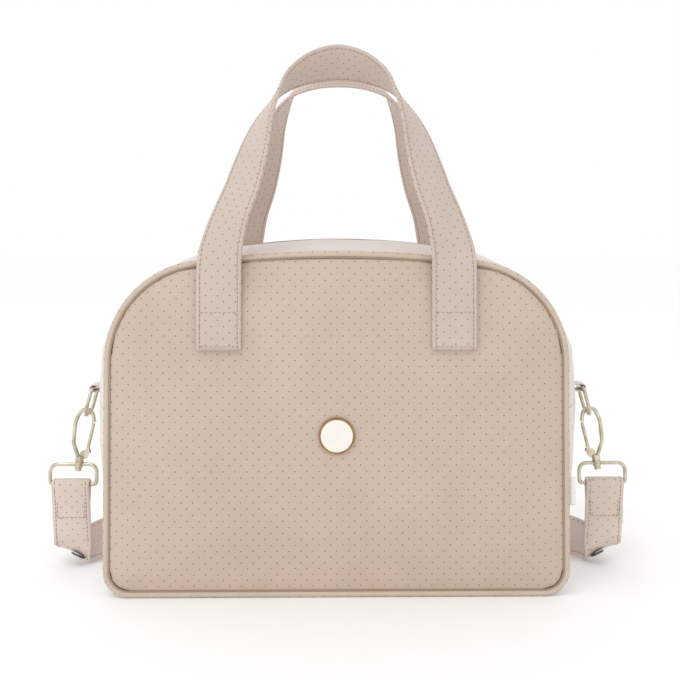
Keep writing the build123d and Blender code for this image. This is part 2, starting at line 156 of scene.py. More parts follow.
def leather(name, main, shade, dot=None, roughness=0.56):
    """Matt pebbled leathercloth. With a dot colour it is printed; without, it is plain."""
    material, tree, bsdf = new_material(name, IOR=1.47, Roughness=roughness, Sheen_Weight=0.12,
                                        Sheen_Roughness=0.45, Specular_IOR_Level=0.38)
    place = add(tree, "TexCoord").outputs["Object"]
    cloud = add(tree, "TexNoise", Vector=place, Scale=1000 / CLOUD, Detail=3.0, Roughness=0.55)
    tone = add(tree, "MapRange", i0=cloud.outputs[0], i1=0.35, i2=0.65)
    colour = add(tree, "Mix", {"data_type": "RGBA"}, i0=tone.outputs[0], i6=linear(main), i7=linear(shade))
    pebble = add(tree, "TexVoronoi", Vector=place, Scale=1000 / PEBBLE)
    grain = add(tree, "TexNoise", Vector=place, Scale=2500 / PEBBLE, Detail=2.0)
    height = add(tree, "Math", {"operation": "MULTIPLY_ADD"}, i0=grain.outputs[0], i1=0.4,
                 i2=pebble.outputs["Distance"])
    result = colour.outputs["Result"]
    if dot:
        uv = add(tree, "TexCoord").outputs["UV"]
        lattice = add(tree, "VectorMath", {"operation": "MULTIPLY"}, i0=uv,
                      i1=(1000 / DOT_ACROSS, 1000 / DOT_ALONG, 0))
        reach = []
        for shift in (0.0, 0.5):
            moved = add(tree, "VectorMath", {"operation": "ADD"}, i0=lattice.outputs[0], i1=(shift, shift, 0))
            cell = add(tree, "VectorMath", {"operation": "FRACTION"}, i0=moved.outputs[0])
            offset = add(tree, "VectorMath", {"operation": "SUBTRACT"}, i0=cell.outputs[0], i1=(0.5, 0.5, 0))
            real = add(tree, "VectorMath", {"operation": "MULTIPLY"}, i0=offset.outputs[0],
                       i1=(DOT_ACROSS, DOT_ALONG, 0))
            far = add(tree, "VectorMath", {"operation": "LENGTH"}, i0=real.outputs[0])
            reach.append(far.outputs["Value"])
        nearest = add(tree, "Math", {"operation": "MINIMUM"}, i0=reach[0], i1=reach[1])
        ink = add(tree, "MapRange", i0=nearest.outputs[0], i1=DOT_RADIUS + DOT_EDGE,
                  i2=DOT_RADIUS - DOT_EDGE)
        printed = add(tree, "Mix", {"data_type": "RGBA"}, i0=ink.outputs[0], i6=result, i7=linear(dot))
        result = printed.outputs["Result"]
    dress(tree, bsdf, result, height.outputs[0], 0.10, PEBBLE_HEIGHT)
    print("leather:", name)
    return material


dotted = leather("dotted leathercloth", "#c9b6a8", "#c4b1a2", dot="#857060")
dotted_strap = leather("dotted strap leathercloth", "#cab9ae", "#c5b4a8", dot="#857060")
piping_leather = leather("piping leathercloth", "#cbbbaa", "#c5b4a2", dot="#857060", roughness=0.5)
# Painted sheen: the gusset's pale whitish colour stands for the glancing reflection of the white surround;
# the pebble grain is the leathercloth's own.
plain = leather("plain gusset leathercloth", "#dfd6d3", "#d9cfcb")
strap_back = leather("strap backing leathercloth", "#ddd0ca", "#d6c8c1")
# Painted light: a lighter copy of the dotted leathercloth, to make up for the shade the strap lies in; the
# print is real.
shoulder = leather("shoulder strap leathercloth", "#d9c9be", "#d3c2b6", dot="#8f7a69")

# %% [markdown]
# ## Thread, tape and cloth
# Sewing thread, zip tape, lining and label are all spun or woven. Single yarns could be modelled, but
# they are far below a millimetre, so two crossed waves at the pitch of the yarn stand in for them.

# %% Woven cloth
WAVE_REPEAT = 6.283  # a wave texture repeats once in this many units
WEAVE_HEIGHT = 0.2  # mm


def woven(name, main, shade, pitch, roughness=0.85):
    """Plain-weave cloth with its threads pitch mm apart."""
    material, tree, bsdf = new_material(name, IOR=1.5, Roughness=roughness, Sheen_Weight=0.25,
                                        Specular_IOR_Level=0.25)
    place = add(tree, "TexCoord").outputs["Object"]
    waves = [add(tree, "TexWave", {"bands_direction": axis}, Vector=place,
                 Scale=1000 / pitch / WAVE_REPEAT, Distortion=0.6, Detail=1.0) for axis in ("X", "Z")]
    over = add(tree, "Math", {"operation": "MAXIMUM"}, i0=waves[0].outputs["Fac"],
               i1=waves[1].outputs["Fac"])
    colour = add(tree, "Mix", {"data_type": "RGBA"}, i0=over.outputs[0], i6=linear(shade), i7=linear(main))
    dress(tree, bsdf, colour.outputs["Result"], over.outputs[0], 0.35, WEAVE_HEIGHT)
    print("cloth:", name)
    return material


thread = woven("sewing thread", "#a8937f", "#917c69", 0.35, roughness=0.6)
# Painted shadow: the darker tone of the cord that lies in the seam gap beside the piping.
seam_shade = woven("seam fold", "#ab9888", "#97836f", 0.8)
zip_cloth = woven("zip tape", "#b7a799", "#9d8c7e", 0.5)
lining_cloth = woven("lining cloth", "#cdbfb4", "#bdaea2", 0.9)
label_cloth = woven("blank woven label", "#f6f4f1", "#e7e4e0", 0.45)

# %% [markdown]
# ## Plated metal
# The fittings are cast zinc, polished and plated in a pale gold. A metal's colour carries how much it
# reflects, so a pale colour is enough, and a faint casting ripple keeps its highlights from being perfect.

# %% Plated metal
METAL_RIPPLE, METAL_GRAIN = 9.0, 0.6  # mm across a ripple, and across a patch of polish
METAL_HEIGHT = 0.4  # mm


def metal(name, bright, worn, roughness):
    """Plated metal whose polish varies a little over a few millimetres."""
    material, tree, bsdf = new_material(name, Metallic=1.0)
    place = add(tree, "TexCoord").outputs["Object"]
    ripples = add(tree, "TexNoise", Vector=place, Scale=1000 / METAL_RIPPLE, Detail=4.0)
    fine = add(tree, "TexNoise", Vector=place, Scale=1000 / METAL_GRAIN, Detail=2.0)
    tone = add(tree, "MapRange", i0=ripples.outputs[0], i1=0.35, i2=0.7)
    colour = add(tree, "Mix", {"data_type": "RGBA"}, i0=tone.outputs[0], i6=linear(bright), i7=linear(worn))
    polish = add(tree, "MapRange", i0=fine.outputs[0], i1=0.3, i2=0.75, i3=roughness * 0.8,
                 i4=roughness * 1.25)
    tree.links.new(polish.outputs[0], bsdf.inputs["Roughness"])
    dress(tree, bsdf, colour.outputs["Result"], ripples.outputs[0], 0.12, METAL_HEIGHT)
    print("metal:", name)
    return material


gold = metal("pale gold plating", "#ddd5c3", "#b3a88f", 0.2)
gunmetal = metal("gunmetal plating", "#6f6a6a", "#5a5656", 0.28)
bronze = metal("bronze rim", "#a8854f", "#8f6f41", 0.22)

# %% [markdown]
# ## Smooth films
# The enamel of the badge, the nylon of the zip coil and the hard face of the base board are smooth, even
# films. They differ in colour and gloss, and share a faint unevenness a few millimetres across.

# %% Enamel, nylon and board
FILM_RIPPLE, FILM_HEIGHT = 5.0, 0.3  # mm across a ripple, and its height


def coated(name, main, shade, roughness, coat=0.0):
    """A smooth even film with a faint orange-peel."""
    material, tree, bsdf = new_material(name, IOR=1.5, Roughness=roughness, Coat_Weight=coat,
                                        Coat_Roughness=0.08)
    place = add(tree, "TexCoord").outputs["Object"]
    peel = add(tree, "TexNoise", Vector=place, Scale=1000 / FILM_RIPPLE, Detail=3.0)
    colour = add(tree, "Mix", {"data_type": "RGBA"}, i0=peel.outputs[0], i6=linear(main), i7=linear(shade))
    dress(tree, bsdf, colour.outputs["Result"], peel.outputs[0], 0.08, FILM_HEIGHT)
    print("coating:", name)
    return material


zip_coil = coated("nylon coil", "#a5968a", "#968679", 0.4)
board = coated("stiff base board", "#8f8578", "#857b6e", 0.7)
enamel = coated("cream enamel", "#f3efe8", "#ece7df", 0.22, coat=0.6)

# %% [markdown]
# ## Skinning
# Nearly everything sewn is a strip: a closed row of points round it, repeated along it. One function
# skins such a grid and lays its UVs out at real size, so the dot has the same pitch on every piece.

# %% Skin a grid of points
def skin(name, grid, u, v, materials, closed_ends=True, pick=None):
    """Tube-like mesh from closed rows of points in mm. u runs round a row, v along the rows, in mm."""
    grid = np.asarray(grid, float)
    rows, columns = grid.shape[:2]
    index = np.arange(rows * columns).reshape(rows, columns)
    faces, spots, kinds = [], [], []
    for r in range(rows - 1):
        for c in range(columns):
            n = (c + 1) % columns
            faces.append((index[r, c], index[r, n], index[r + 1, n], index[r + 1, c]))
            spots += [(u[c], v[r]), (u[c + 1], v[r]), (u[c + 1], v[r + 1]), (u[c], v[r + 1])]
            kinds.append(pick(c) if pick else 0)
    if closed_ends:
        for row, order in ((0, -1), (rows - 1, 1)):
            faces.append(tuple(index[row][::order]))
            spots += [(grid[row, c, 0], grid[row, c, 1]) for c in range(columns)]
            kinds.append(0)
    mesh = bpy.data.meshes.new(name)
    mesh.from_pydata((grid.reshape(-1, 3) * MM).tolist(), [], [tuple(int(i) for i in f) for f in faces])
    mesh.uv_layers.new(name="UVMap").data.foreach_set("uv", (np.array(spots, np.float32) * MM).ravel())
    for material in materials:
        mesh.materials.append(material)
    mesh.polygons.foreach_set("material_index", kinds)
    mesh.shade_smooth()
    work = bmesh.new()
    work.from_mesh(mesh)
    bmesh.ops.recalc_face_normals(work, faces=work.faces)
    work.to_mesh(mesh)
    work.free()
    return put(name, mesh)


print("skin: rows of points in mm become a mesh in metres, with its UVs at real size")

# %% Lengths and even spacing
def lengths(points):
    """Distance along a polyline at each of its points."""
    points = np.asarray(points, float)
    return np.concatenate([[0], np.cumsum(np.linalg.norm(np.diff(points, axis=0), axis=1))])


def resample(points, count):
    """The same polyline with count points evenly spaced along it."""
    points = np.asarray(points, float)
    run = lengths(points)
    places = np.linspace(0, run[-1], count)
    return np.column_stack([np.interp(places, run, points[:, k]) for k in range(points.shape[1])])


print("a 3-4-5 corner measures", lengths([(0, 0), (3, 0), (3, 4)])[-1], "mm along its sides")

# %% Smooth routes and cords
def smooth_route(points, step=4.0):
    """A Catmull-Rom curve through the points, about one point every step mm."""
    points = np.asarray(points, float)
    padded = np.vstack([2 * points[0] - points[1], points, 2 * points[-1] - points[-2]])
    out = []
    for a, b, c, d in zip(padded, padded[1:], padded[2:], padded[3:]):
        for t in np.linspace(0, 1, 8, endpoint=False):
            out.append(0.5 * (2 * b + (c - a) * t + (2 * a - 5 * b + 4 * c - d) * t ** 2
                              + (3 * b - a - 3 * c + d) * t ** 3))
    out.append(points[-1])
    out = np.array(out)
    return resample(out, max(4, int(lengths(out[:, :3])[-1] / step)))


def tube(name, route, radius, material, sides):
    """A cord of even radius along a closed route; the UVs run round it and along it."""
    route = np.asarray(route, float)
    ahead = np.roll(route, -1, 0) - np.roll(route, 1, 0)
    ahead /= np.linalg.norm(ahead, axis=1)[:, None]
    lift = np.cross(ahead, (0.0, 1.0, 0.0))
    lift /= np.linalg.norm(lift, axis=1)[:, None]
    side = np.cross(lift, ahead)
    turns = np.linspace(0, 2 * math.pi, sides, endpoint=False)
    grid = route[:, None] + radius * (np.cos(turns)[None, :, None] * lift[:, None]
                                      + np.sin(turns)[None, :, None] * side[:, None])
    grid = np.concatenate([grid, grid[:1]])
    u = np.linspace(0, 2 * math.pi * radius, sides + 1)
    return skin(name, grid, u, lengths(grid[:, 0]), [material], closed_ends=False)


print("a bend through three marks becomes", len(smooth_route([(0, 0, 0), (30, 10, 0), (60, 0, 0)])), "points")

# %% [markdown]
# ## The outline that every seam follows
# Both panels, the piping and the inner edge of the gusset share one outline: square-ish at the base,
# wide round shoulders and a very shallow arch over the top.

# %% Panel outline
def outline(inset):
    """Outline drawn in by inset mm, as (x, z) points from the middle of the base, right side first."""
    half = HALF_WIDTH - inset
    base_r, top_r, arc = max(BASE_CORNER - inset, 5.0), max(TOP_CORNER - inset, 12.0), TOP_ARC - inset
    x0 = half - top_r
    z0 = ARC_CENTRE_Z + math.sqrt((arc - top_r) ** 2 - x0 ** 2)
    lean = math.asin(x0 / (arc - top_r))
    right = [((half - base_r) * t, inset) for t in np.linspace(0, 1, 40)[:-1]]
    right += [(half - base_r * (1 - math.sin(a)), inset + base_r * (1 - math.cos(a)))
              for a in np.linspace(0, math.pi / 2, 14)[:-1]]
    right += [(half, inset + base_r + (z0 - inset - base_r) * t) for t in np.linspace(0, 1, 44)[:-1]]
    right += [(x0 + top_r * math.cos(a), z0 + top_r * math.sin(a))
              for a in np.linspace(0, math.pi / 2 - lean, 26)[:-1]]
    right += [(arc * math.sin(a), ARC_CENTRE_Z + arc * math.cos(a)) for a in np.linspace(lean, 0, 40)]
    left = [(-x, z) for x, z in right[-2:0:-1]]
    return np.array(right + left)


edge = outline(0)
print(f"seam length {lengths(np.vstack([edge, edge[:1]]))[-1] / 1000:.3f} m")

# %% [markdown]
# ## Padded panels
# Each panel is leathercloth sewn over a foam sheet. The piping holds its edge while the foam pushes the
# middle out, so the cloth is simulated: it is blown gently from inside with its edge and back held.
# The push is then capped, because foam gives a few millimetres and no more, and because the handle
# ends and the badge press it flat where they are fixed.

# %% The panel before it is puffed
# How far in from the seam, and how far out of it, in mm.
RISE_INSET = [4.6, 5.6, 8.0, 14.0, 22.0, 34.0, 50.0, 70.0]
RISE_LIFT = [-0.2, 1.2, 2.8, 4.6, 6.3, 7.6, 8.5, 9.0]
FLANGE = 7.0  # depth of the edge that is turned in behind the seam


def panel_form(name):
    """The closed form of one padded panel, seam edge to crown, still without any puff."""
    rings = [np.column_stack([r[:, 0], np.full(len(r), -(SEAM_Y + lift)), r[:, 1]])
             for r, lift in zip(map(outline, RISE_INSET), RISE_LIFT)]
    rings.insert(0, rings[0] + (0, FLANGE, 0))
    return skin(name, np.array(rings), np.zeros(len(rings[0]) + 1), np.zeros(len(rings)), [dotted])


def apply_modifiers(piece):
    """Keep what the modifiers make of the piece, and drop the modifiers."""
    bpy.context.view_layer.update()
    done = bpy.data.meshes.new_from_object(piece.evaluated_get(bpy.context.evaluated_depsgraph_get()))
    piece.modifiers.clear()
    piece.data = done


print(f"form: {len(RISE_INSET)} rings, from {RISE_LIFT[0]} to {RISE_LIFT[-1]} mm out of the seam")

# %% Blow the cloth over the foam
MOST_PUFF = 1.6  # mm
CLOTH_FRAMES = 20
HELD_DEPTH = 2.2  # mm out of the seam: all that lies nearer is held
HANDLE_X = 107.6
# Places that are pressed flat: x, z, half width and half height in mm.
PRESSED = [(-HANDLE_X, 248.0, 22.0, 22.0), (HANDLE_X, 248.0, 22.0, 22.0), (0.0, 150.0, 17.0, 17.0)]
PRESSED_PUFF, PRESSED_SLOPE = 0.1, 0.055  # mm left there, and how fast it comes back


def puff(piece):
    """Blow the panel with its back and its sewn edge held, then cap the push."""
    rest = np.array([v.co for v in piece.data.vertices]) / MM
    depth = -rest[:, 1] - SEAM_Y
    held = piece.vertex_groups.new(name="held")
    held.add([i for i, d in enumerate(depth) if d < HELD_DEPTH], 1.0, "REPLACE")
    cloth = piece.modifiers.new("Cloth", "CLOTH")
    cloth.settings.quality = 6
    cloth.settings.mass = 0.25
    cloth.settings.tension_stiffness = cloth.settings.compression_stiffness = 12
    cloth.settings.bending_stiffness = 3.0
    cloth.settings.use_pressure = True
    cloth.settings.uniform_pressure_force = 4.0
    cloth.settings.vertex_group_mass = "held"
    cloth.settings.effector_weights.gravity = 0.0
    cloth.point_cache.frame_start, cloth.point_cache.frame_end = 1, CLOTH_FRAMES
    for frame_number in range(1, CLOTH_FRAMES + 1):
        bpy.context.scene.frame_set(frame_number)
    apply_modifiers(piece)
    bpy.context.scene.frame_set(1)
    moved = np.array([v.co for v in piece.data.vertices]) / MM
    push = moved - rest
    most = np.full(len(rest), MOST_PUFF)
    for x, z, wide, tall in PRESSED:
        away = np.hypot(np.maximum(np.abs(rest[:, 0] - x) - wide, 0),
                        np.maximum(np.abs(rest[:, 2] - z) - tall, 0))
        most = np.minimum(most, PRESSED_PUFF + PRESSED_SLOPE * away)
    size = np.maximum(np.linalg.norm(push, axis=1), 1e-6)
    push *= (most * np.tanh(size / most) / size)[:, None]
    piece.data.vertices.foreach_set("co", ((rest + push) * MM).astype(np.float32).ravel())
    piece.data.update()
    kept = np.linalg.norm(push, axis=1).max()
    print(f"{piece.name}: puffed by up to {size.max():.1f} mm, kept to {kept:.1f} mm")


print(f"cloth: {CLOTH_FRAMES} frames, {len(PRESSED)} places pressed flat")

# %% The two panels
CLOTH_STEP = 5.0  # mm between the points of the even mesh


def finish_panel(piece, side):
    """Round off, lay the print flat on the panel, and turn the back one round."""
    smooth = piece.modifiers.new("Smooth", "SMOOTH")
    smooth.factor, smooth.iterations = 0.5, 3
    piece.modifiers.new("Round", "SUBSURF").levels = 1
    apply_modifiers(piece)
    if side > 0:
        piece.data.transform(Matrix.Rotation(math.pi, 4, "Z"))
    piece.data.materials.clear()
    piece.data.materials.append(dotted)
    layer = piece.data.uv_layers.new(name="UVMap") if not piece.data.uv_layers else piece.data.uv_layers[0]
    corner = np.empty(len(piece.data.loops), np.int64)
    piece.data.loops.foreach_get("vertex_index", corner)
    spots = np.array([v.co for v in piece.data.vertices])[corner]
    layer.data.foreach_set("uv", np.column_stack([spots[:, 0], spots[:, 2]]).astype(np.float32).ravel())
    piece.data.shade_smooth()


master = panel_form("front_padded_panel")
remesh = master.modifiers.new("Even", "REMESH")
remesh.mode, remesh.voxel_size, remesh.use_smooth_shade = "VOXEL", CLOTH_STEP * MM, True
apply_modifiers(master)
puff(master)
back = put("back_padded_panel", master.data.copy())
for panel, side, names in ((master, -1, ("front_panel", "front_foam")),
                           (back, 1, ("back_panel", "back_foam"))):
    finish_panel(panel, side)
    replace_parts(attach(panel, "bag"), *names)
    print(panel.name, len(panel.data.vertices), "points")

# %% [markdown]
# ## Piping
# A cord wrapped in a bias strip of the same leathercloth and caught in the seam. Its print is seen
# wrapped round the cord. Where the panel dips into the seam, a thin darker cord lies along it: painted shadow
# of the seam gap.

# %% Piping and painted seam shadows
CORD_GAP = 0.05  # between the cord and the outline
SHADE_GAP, SHADE_OUT, SHADE_RADIUS = 0.5, 1.1, 0.75  # painted seam shadow: past the cord, out of the seam, half its width
for side, body in ((-1, "front"), (1, "back")):
    ring = outline(PIPING + CORD_GAP)
    route = np.column_stack([ring[:, 0], np.full(len(ring), side * SEAM_Y), ring[:, 1]])
    cord = tube(body + "_piping_cord", route, PIPING, piping_leather, sides=20)
    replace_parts(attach(cord, "bag"), body + "_piping")
    # A thin darker cord just inside the piping: painted shadow of the seam gap.
    ring = outline(2 * PIPING + SHADE_GAP)
    route = np.column_stack([ring[:, 0], np.full(len(ring), side * (SEAM_Y + SHADE_OUT)), ring[:, 1]])
    seam_shadow_cord = tube(body + "_seam_fold", route, SHADE_RADIUS, seam_shade, sides=8)
    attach(seam_shadow_cord, "bag")
print(f"piping {2 * PIPING:.1f} mm thick")

# %% [markdown]
# ## The gusset
# One plain strip runs under the bag and up both sides, and a second carries the zip over the top. Both
# are coloured pale: painted sheen, the white surround's glancing reflection. It is soft, unlined
# leathercloth, so it belly-curves between the seams and creases where it is pulled in: at the shoulders
# and beside the ring tabs. The creases are worked into the strip's own points.

# %% Arcs
def three_point_arc(a, b, c, count):
    """Points on the circle arc from a through b to c."""
    (ax, ay), (bx, by), (cx, cy) = a, b, c
    d = 2 * (ax * (by - cy) + bx * (cy - ay) + cx * (ay - by))
    aa, bb, cc = ax ** 2 + ay ** 2, bx ** 2 + by ** 2, cx ** 2 + cy ** 2
    ux = (aa * (by - cy) + bb * (cy - ay) + cc * (ay - by)) / d
    uy = (aa * (cx - bx) + bb * (ax - cx) + cc * (bx - ax)) / d
    start, end = math.atan2(ay - uy, ax - ux), math.atan2(cy - uy, cx - ux)
    sweep = (end - start + math.pi) % (2 * math.pi) - math.pi
    radius = math.hypot(ax - ux, ay - uy)
    return [(ux + radius * math.cos(start + sweep * t), uy + radius * math.sin(start + sweep * t))
            for t in np.linspace(0, 1, count)]


def arc_drop(radius, x):
    """How far a shallow arch has fallen at x from its middle."""
    return radius - math.sqrt(radius ** 2 - x ** 2)


print(f"the top of the panel falls {arc_drop(TOP_ARC, SHOULDER_X):.1f} mm by its shoulder")

# %% The gusset's section
BASE_END, BASE_SAG = 190.0, 0.6  # where the base starts to turn up, and how far it sags
FOOT_X, FOOT_Z, FOOT_CUT = 214.5, 26.0, 7.2  # side above the base, top of the corner, how it is cut
BELLY_Z, BELLY_CAP = 150.0, 1.5  # height of the widest place, and what the slack folds may add
UPPER_X, UPPER_SEAM_Z, UPPER_Z = 231.5, 215.0, 222.0  # where the side ends, at the seam and mid-way
SHOULDER_SEAM, SHOULDER_MIDDLE = (185.0, 280.2), (190.0, 281.0)
ARCH_END = 133.0  # where the arch over the top begins


def gusset_half(y, inset):
    """Right half of the gusset's section at depth y, from the middle of the base to the zip line."""
    share = 1 - (abs(y) / GUSSET_END) ** 2.5
    seam = PIPING + SEAM_GAP

    def between(at_seam, at_middle):
        return at_seam + (at_middle - at_seam) * share

    side = HALF_WIDTH - seam
    base = between(seam, -BASE_SAG) + inset
    base_side = between(side, FOOT_X) - inset
    upper = (between(side, UPPER_X) - inset, between(UPPER_SEAM_Z, UPPER_Z))
    shoulder = tuple(between(a, b) - 0.7 * inset for a, b in zip(SHOULDER_SEAM, SHOULDER_MIDDLE))
    top = between(HEIGHT - seam, HEIGHT + CREST) - inset

    def arch(x):
        return (x, top - between(arc_drop(TOP_ARC, x), arc_drop(CREST_ARC, x)))

    foot, corner = (base_side, FOOT_Z), (base_side - FOOT_CUT, base + FOOT_CUT)
    belly = (between(side + 0.3, HALF_WIDTH + SIDE_BULGE - BELLY_CAP) - inset, BELLY_Z)
    points = [(x, base) for x in np.linspace(0, BASE_END, 40)[:-1]]
    points += three_point_arc((BASE_END, base), corner, foot, 14)[:-1]
    points += three_point_arc(foot, belly, upper, 60)[:-1]
    points += three_point_arc(upper, shoulder, arch(ARCH_END), 40)[:-1]
    points += [arch(x) for x in np.linspace(ARCH_END, 0, 50)]
    return np.array(points)


def part_of(points, start, stop):
    """Cut a section between two conditions, each (column, value); None is the end that it already has."""
    run = lengths(points)
    places = []
    for mark, default in ((start, 0.0), (stop, run[-1])):
        if mark is None:
            places.append(default)
            continue
        column, value = mark
        values = points[:, column]
        cross = [i for i in range(len(values) - 1) if (values[i] - value) * (values[i + 1] - value) <= 0]
        i = cross[-1]
        t = (value - values[i]) / (values[i + 1] - values[i])
        places.append(run[i] + t * (run[i + 1] - run[i]))
    inside = run[(run > places[0]) & (run < places[1])]
    marks = np.concatenate([[places[0]], inside, [places[1]]])
    return np.column_stack([np.interp(marks, run, points[:, k]) for k in (0, 1)])


print(f"half way round the gusset: {lengths(gusset_half(0.0, 0.0))[-1]:.0f} mm")

# %% Creases, and the gusset's strips
STRIP_T = 2.0  # mm, the thickness of the strip
LOWER_TOP_Z, END_FOOT_Z, END_X = 171.0, 171.2, 98.4  # where the strips are cut
FLAT_BELOW, FLOOR_GAP = 20, 0.05  # mm: no creases in the base, and it stays off the floor
SLACK, SHOULDER_PULL, TAB_PULL = 1.1, 1.3, 0.9  # mm, the depth of each kind of crease
PULL_X, PULL_Z, TAB_Z = 205, 275, 168  # where the shoulder and the tab pull


def crease(x, y, z):
    """How far the strip stands out or in at a point, in mm: slack folds, deeper near pulls."""
    slack = noise.noise(Vector((x / 38, y / 55, z / 38))) * SLACK
    pull = math.exp(-((abs(x) - PULL_X) / 40) ** 2 - ((z - PULL_Z) / 38) ** 2)
    tab = math.exp(-((z - TAB_Z) / 30) ** 2 - (y / 45) ** 2) * (1 if abs(x) > 150 else 0)
    radial = math.sin(0.23 * y + 0.05 * z + 2.6 * noise.noise(Vector((y / 40, z / 30, 3.0))))
    fade = max(0.0, 1 - (abs(y) / GUSSET_END) ** 4)
    return fade * (slack + SHOULDER_PULL * pull * radial + TAB_PULL * tab * math.sin(0.3 * y + 0.12 * z))


def gusset_piece(name, start, stop, count, depths, half=1, whole=False):
    """A strip of gusset between two cuts. half is the side; whole joins both sides at the base."""
    outer, inner = [], []
    for rows, inset in ((outer, 0.0), (inner, STRIP_T)):
        for y in depths:
            section = resample(part_of(gusset_half(y, inset), start, stop), count)
            if whole:
                section = np.vstack([section[::-1] * (-1, 1), section[1:]])
            else:
                section = section * (half, 1)
            along = np.gradient(section, axis=0)
            along /= np.linalg.norm(along, axis=1)[:, None]
            out = np.column_stack([along[:, 1], -along[:, 0]]) * (1 if whole else half)
            lift = np.array([crease(x, y, z) * (0 if z < FLAT_BELOW else 1) for x, z in section])
            section = section + out * lift[:, None]
            section[:, 1] = np.maximum(section[:, 1], FLOOR_GAP + inset)
            rows.append(np.column_stack([section[:, 0], np.full(len(section), y), section[:, 1]]))
    loop = np.array(outer + inner[::-1])
    grid = loop.transpose(1, 0, 2)
    u = np.concatenate([depths, depths[::-1], depths[:1]])
    return skin(name, grid, u, lengths(grid[:, len(depths) // 2]), [plain])


full = np.linspace(-GUSSET_END, GUSSET_END, 61)
strip = gusset_piece("lower_gusset_strip", None, (1, LOWER_TOP_Z), 150, full, whole=True)
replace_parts(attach(strip, "bag"), "lower_gusset")
for half, side in ((1, "right"), (-1, "left")):
    end = gusset_piece("zip_gusset_end_" + side, (1, END_FOOT_Z), (0, END_X), 110, full, half=half)
    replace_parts(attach(end, "bag"), "zip_gusset_" + side)
print("gusset", len(strip.data.vertices), "points in the lower strip")

# %% [markdown]
# ## The mouth
# Two strips lie beside the zip and fold open with it. Each carries its half of the tape, sewn under
# its edge, and the tape carries the coil: a row of small loops that a slider would mesh.

# %% Stitches and coil loops: one small form at many places
def many(name, places, shape, material):
    """One mesh made of the same small form at many places, each a 4 x 4 matrix in mm."""
    points, faces = shape
    points = np.column_stack([points, np.ones(len(points))])
    spots, polygons = [], []
    for n, place in enumerate(places):
        spots.append((points @ np.array(place).T)[:, :3])
        polygons += [tuple(int(i) + n * len(points) for i in face) for face in faces]
    mesh = bpy.data.meshes.new(name)
    mesh.from_pydata((np.vstack(spots) * MM).tolist(), [], polygons)
    mesh.materials.append(material)
    mesh.shade_smooth()
    return put(name, mesh)


def bead(length, width, height, sides=6):
    """A rounded bead along x: the form of one stitch, or of one loop of coil."""
    rows = [(-0.5, 0.25), (-0.38, 0.8), (0.0, 1.0), (0.38, 0.8), (0.5, 0.25)]
    points = [(length * t, width / 2 * s * math.cos(a), height / 2 * s * math.sin(a))
              for t, s in rows for a in np.linspace(0, 2 * math.pi, sides, endpoint=False)]
    faces = [(r + c, r + (c + 1) % sides, r + sides + (c + 1) % sides, r + sides + c)
             for r in range(0, (len(rows) - 1) * sides, sides) for c in range(sides)]
    faces += [tuple(range(sides))[::-1], tuple(range((len(rows) - 1) * sides, len(rows) * sides))]
    return np.array(points), faces


def place(centre, along, face):
    """Matrix that puts a form at centre with its x along the seam and its z out of the face."""
    along = np.array(along, float) / np.linalg.norm(along)
    side = np.cross(face, along)
    side /= np.linalg.norm(side)
    matrix = np.eye(4)
    matrix[:3, 0], matrix[:3, 1], matrix[:3, 2], matrix[:3, 3] = along, side, np.cross(along, side), centre
    return matrix


print("one stitch or one loop of coil is", len(bead(1, 1, 1)[0]), "points")

# %% Flaps, tapes and coils
MOUTH_HALF = 98.0
FLAP_EDGE = 6.2  # how far from the zip line the flap ends
COIL_PITCH, COIL_STAGGER = 1.9, 0.5
# The tape's section, round from its outer edge: distance from the zip line, and height above it.
TAPE = ((6.4, -0.2), (4.5, 0.0), (2.6, 0.15), (1.3, 0.1), (1.3, -0.8), (4.5, -0.9), (6.4, -1.0))
TAPE_U = [6.4, 4.5, 2.6, 1.3, 0.6, -2.6, -4.5, -6.4]


def crest_z(x):
    """Height of the zip line at x, in mm."""
    return HEIGHT + CREST - arc_drop(CREST_ARC, x)


for side, body in ((-1, "front"), (1, "back")):
    depths = side * np.linspace(GUSSET_END, FLAP_EDGE, 32)
    outer, inner = [], []
    for rows, inset in ((outer, 0.0), (inner, STRIP_T)):
        for y in depths:
            half = part_of(gusset_half(y, inset), (0, MOUTH_HALF), None)
            section = resample(np.vstack([half, half[-2::-1] * (-1, 1)]), 80)
            section[:, 1] += [0.8 * crease(x, y, z) for x, z in section]
            rows.append(np.column_stack([section[:, 0], np.full(80, y), section[:, 1]]))
    grid = np.array(outer + inner[::-1]).transpose(1, 0, 2)
    u = np.concatenate([depths, depths[::-1], depths[:1]])
    flap = skin(body + "_mouth_flap", grid, u, lengths(grid[:, 0]), [plain])
    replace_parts(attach(flap, body + "_flap"), body + "_flap")
    xs = np.linspace(-MOUTH_HALF, MOUTH_HALF, 60)
    rows = [[(x, side * y, crest_z(x) + lift) for y, lift in TAPE] for x in xs]
    tape = skin(body + "_zip_tape_cloth", rows, TAPE_U, xs, [zip_cloth])
    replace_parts(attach(tape, body + "_flap"), body + "_zip_tape")
    loops = np.arange(-MOUTH_HALF + 1, MOUTH_HALF, COIL_PITCH) + (COIL_STAGGER if side > 0 else 0)
    spots = [place((x, side * 1.25, crest_z(x) + 0.1), (0, 1, 0), (0, 0, 1)) for x in loops]
    coil = many(body + "_zip_coil", spots, bead(2.3, 1.25, 1.3), zip_coil)
    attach(coil, body + "_flap")
    print(body, "coil:", len(loops), "loops")

# %% [markdown]
# ## The ends of the zip
# Beyond the mouth the two tapes are sewn flat to the gusset, side by side. They are low there, so that
# the slider clears them at the end of its run.

